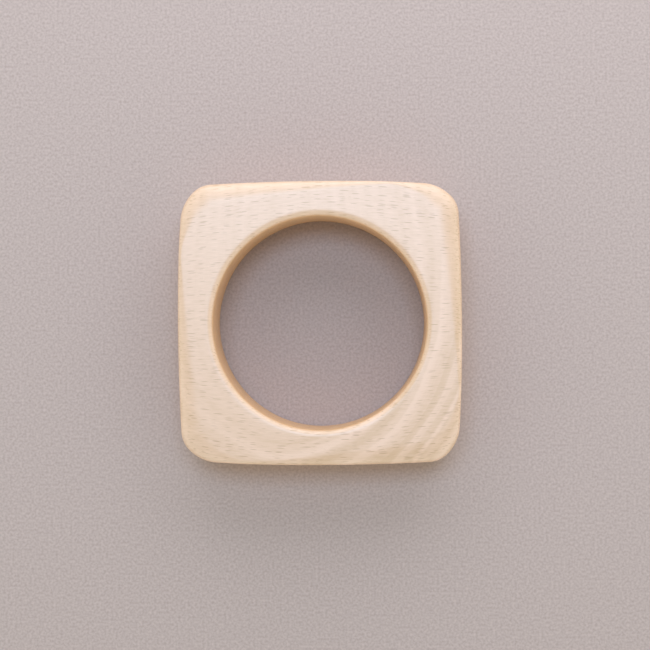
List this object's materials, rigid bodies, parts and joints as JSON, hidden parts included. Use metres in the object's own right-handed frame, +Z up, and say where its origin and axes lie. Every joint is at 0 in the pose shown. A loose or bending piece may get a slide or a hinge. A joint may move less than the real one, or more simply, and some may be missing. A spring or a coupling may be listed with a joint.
{
  "type": "baby rattle",
  "caption": "Closed wooden ring rattle, rounded square outside with edges eased in a turning sweep, round bore to hold it by; loose balls rattle in sealed hollows in its corners.",
  "frame": {"origin": "centre of the bore in the plane of the face the rattle lies on", "axes": "+Z up along the bore axis; +X and +Y square to the sides at mid height"},
  "size_m": [0.086, 0.086, 0.025],
  "materials": {
    "ring_wood": "pale beech, finely sanded, thin satin oil",
    "ball_steel": "polished steel ball"
  },
  "bodies": {
    "ring": {"lower_half_ring": "ring_wood", "upper_half_ring": "ring_wood"},
    "rattle_ball_01": {"rattle_ball_01": "ball_steel"},
    "rattle_ball_02": {"rattle_ball_02": "ball_steel"},
    "rattle_ball_03": {"rattle_ball_03": "ball_steel"},
    "rattle_ball_04": {"rattle_ball_04": "ball_steel"},
    "rattle_ball_05": {"rattle_ball_05": "ball_steel"},
    "rattle_ball_06": {"rattle_ball_06": "ball_steel"},
    "rattle_ball_07": {"rattle_ball_07": "ball_steel"},
    "rattle_ball_08": {"rattle_ball_08": "ball_steel"},
    "rattle_ball_09": {"rattle_ball_09": "ball_steel"},
    "rattle_ball_10": {"rattle_ball_10": "ball_steel"},
    "rattle_ball_11": {"rattle_ball_11": "ball_steel"},
    "rattle_ball_12": {"rattle_ball_12": "ball_steel"}
  },
  "joints": [
    {"name": "rattle_ball_01_hop", "type": "slide", "parent": "ring", "child": "rattle_ball_01", "axis": [0, 0, 1], "range_m": [0, 0.0083]},
    {"name": "rattle_ball_02_hop", "type": "slide", "parent": "ring", "child": "rattle_ball_02", "axis": [0, 0, 1], "range_m": [0, 0.0083]},
    {"name": "rattle_ball_03_hop", "type": "slide", "parent": "ring", "child": "rattle_ball_03", "axis": [0, 0, 1], "range_m": [0, 0.0083]},
    {"name": "rattle_ball_04_hop", "type": "slide", "parent": "ring", "child": "rattle_ball_04", "axis": [0, 0, 1], "range_m": [0, 0.0083]},
    {"name": "rattle_ball_05_hop", "type": "slide", "parent": "ring", "child": "rattle_ball_05", "axis": [0, 0, 1], "range_m": [0, 0.0083]},
    {"name": "rattle_ball_06_hop", "type": "slide", "parent": "ring", "child": "rattle_ball_06", "axis": [0, 0, 1], "range_m": [0, 0.0083]},
    {"name": "rattle_ball_07_hop", "type": "slide", "parent": "ring", "child": "rattle_ball_07", "axis": [0, 0, 1], "range_m": [0, 0.0083]},
    {"name": "rattle_ball_08_hop", "type": "slide", "parent": "ring", "child": "rattle_ball_08", "axis": [0, 0, 1], "range_m": [0, 0.0083]},
    {"name": "rattle_ball_09_hop", "type": "slide", "parent": "ring", "child": "rattle_ball_09", "axis": [0, 0, 1], "range_m": [0, 0.0083]},
    {"name": "rattle_ball_10_hop", "type": "slide", "parent": "ring", "child": "rattle_ball_10", "axis": [0, 0, 1], "range_m": [0, 0.0083]},
    {"name": "rattle_ball_11_hop", "type": "slide", "parent": "ring", "child": "rattle_ball_11", "axis": [0, 0, 1], "range_m": [0, 0.0083]},
    {"name": "rattle_ball_12_hop", "type": "slide", "parent": "ring", "child": "rattle_ball_12", "axis": [0, 0, 1], "range_m": [0, 0.0083]}
  ]
}
